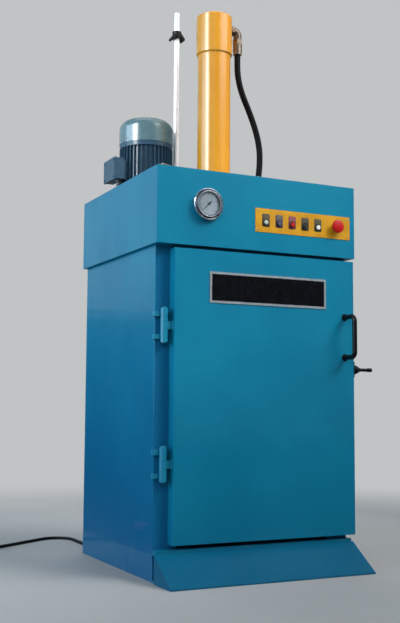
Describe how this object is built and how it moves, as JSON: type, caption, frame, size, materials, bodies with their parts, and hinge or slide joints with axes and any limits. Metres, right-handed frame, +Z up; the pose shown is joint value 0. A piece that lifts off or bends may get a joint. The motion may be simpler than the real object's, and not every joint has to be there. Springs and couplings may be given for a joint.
{
  "type": "drum crusher",
  "caption": "Upright hydraulic drum crusher: steel cabinet with a hinged door and a ramp, a ribbed platen on a ram, and a header with the power pack, gauge and push buttons.",
  "frame": {"origin": "on the ground below the ram axis, on the underside of the middle base channel", "axes": "+X to the right of the operator, +Y to the rear, +Z up along the ram"},
  "size_m": [1.5175, 1.49, 2.537],
  "materials": {
    "blue_paint": "gloss enamel",
    "yellow_paint": "gloss enamel",
    "motor_paint": "satin enamel",
    "cowl_paint": "satin enamel",
    "box_paint": "satin enamel",
    "black_paint": "satin enamel",
    "bright_steel": "machined",
    "chromed_bar": "hard chrome, ground",
    "zinc_steel": "yellow zinc plate",
    "cast_aluminium": "cast, machined faces",
    "black_rubber": "smooth",
    "black_plastic": "moulded",
    "plate_enamel": "printed enamel",
    "plate_black": "printed enamel",
    "clear_glass": "polished",
    "lamp_lens": "milky",
    "violet_grey": "moulded",
    "stop_red": "moulded",
    "button_dark": "moulded",
    "button_white": "moulded",
    "plug_red": "moulded"
  },
  "bodies": {
    "frame": {"base_frame": "blue_paint", "loading_ramp": "blue_paint", "side_wall_left": "blue_paint", "side_wall_right": "blue_paint", "rear_wall": "blue_paint", "crosshead": "blue_paint", "header_shell": "blue_paint", "header_top": "blue_paint", "header_back": "blue_paint", "oil_tank": "black_paint", "filler_breather": "black_plastic", "hydraulic_pump": "cast_aluminium", "valve_block": "cast_aluminium", "valve_pipes": "bright_steel", "electrical_box": "box_paint", "cylinder_barrel": "yellow_paint", "cylinder_cap": "yellow_paint", "cylinder_gland": "bright_steel", "flange_bolts": "bright_steel", "port_elbow": "bright_steel", "hose_ferrules": "zinc_steel", "pressure_hose": "black_rubber", "hose_bulkhead": "bright_steel", "guide_bushes": "bright_steel", "stroke_sensor": "bright_steel", "motor_body": "motor_paint", "fan_cover": "cowl_paint", "terminal_box": "motor_paint", "motor_conduit": "black_plastic", "gauge_case": "bright_steel", "gauge_glass": "clear_glass", "control_plate": "plate_enamel", "power_lamp": "lamp_lens", "button_collars": "black_plastic", "hinge_knuckles": "blue_paint", "hinge_pins": "bright_steel", "bolt_guide": "black_paint", "cable_gland": "black_rubber", "supply_cable": "black_rubber", "cable_coil": "black_rubber", "supply_plug": "plug_red"},
    "door": {"door_skin": "blue_paint", "door_frame": "blue_paint", "door_handle": "black_paint", "name_plate": "plate_black", "door_knuckles": "blue_paint"},
    "ram": {"piston": "bright_steel", "piston_rod": "chromed_bar", "platen": "blue_paint", "guide_rod": "chromed_bar", "trip_dog": "black_paint"},
    "rotor": {"motor_shaft": "bright_steel", "cooling_fan": "black_plastic"},
    "bolt": {"door_bolt": "black_paint"},
    "needle": {"gauge_needle": "black_plastic"},
    "start": {"start_button": "violet_grey"},
    "stop": {"stop_button": "stop_red"},
    "down": {"down_button": "button_dark"},
    "up": {"up_button": "button_white"},
    "emergency": {"emergency_stop": "stop_red"}
  },
  "joints": [
    {"name": "door_swing", "type": "hinge", "parent": "frame", "child": "door", "pos_m": [-0.411, -0.398, 0.7095], "axis": [0, 0, -1], "range_deg": [0, 135]},
    {"name": "bolt_slide", "type": "slide", "parent": "frame", "child": "bolt", "axis": [-1, 0, 0], "range_m": [0, 0.03]},
    {"name": "ram_stroke", "type": "slide", "parent": "frame", "child": "ram", "axis": [0, 0, -1], "range_m": [0, 0.74]},
    {"name": "motor_spin", "type": "hinge", "parent": "frame", "child": "rotor", "pos_m": [-0.227, 0.245, 1.7], "axis": [0, 0, 1], "continuous": true},
    {"name": "gauge_sweep", "type": "hinge", "parent": "frame", "child": "needle", "pos_m": [-0.245, -0.45, 1.46], "axis": [0, 1, 0], "range_deg": [0, 270], "stiffness_Nm_per_rad": 0.05},
    {"name": "start_push", "type": "slide", "parent": "frame", "child": "start", "axis": [0, 1, 0], "range_m": [0, 0.004], "stiffness_N_per_m": 400},
    {"name": "stop_push", "type": "slide", "parent": "frame", "child": "stop", "axis": [0, 1, 0], "range_m": [0, 0.004], "stiffness_N_per_m": 400},
    {"name": "down_push", "type": "slide", "parent": "frame", "child": "down", "axis": [0, 1, 0], "range_m": [0, 0.004], "stiffness_N_per_m": 400},
    {"name": "up_push", "type": "slide", "parent": "frame", "child": "up", "axis": [0, 1, 0], "range_m": [0, 0.004], "stiffness_N_per_m": 400},
    {"name": "emergency_push", "type": "slide", "parent": "frame", "child": "emergency", "axis": [0, 1, 0], "range_m": [0, 0.006]}
  ]
}
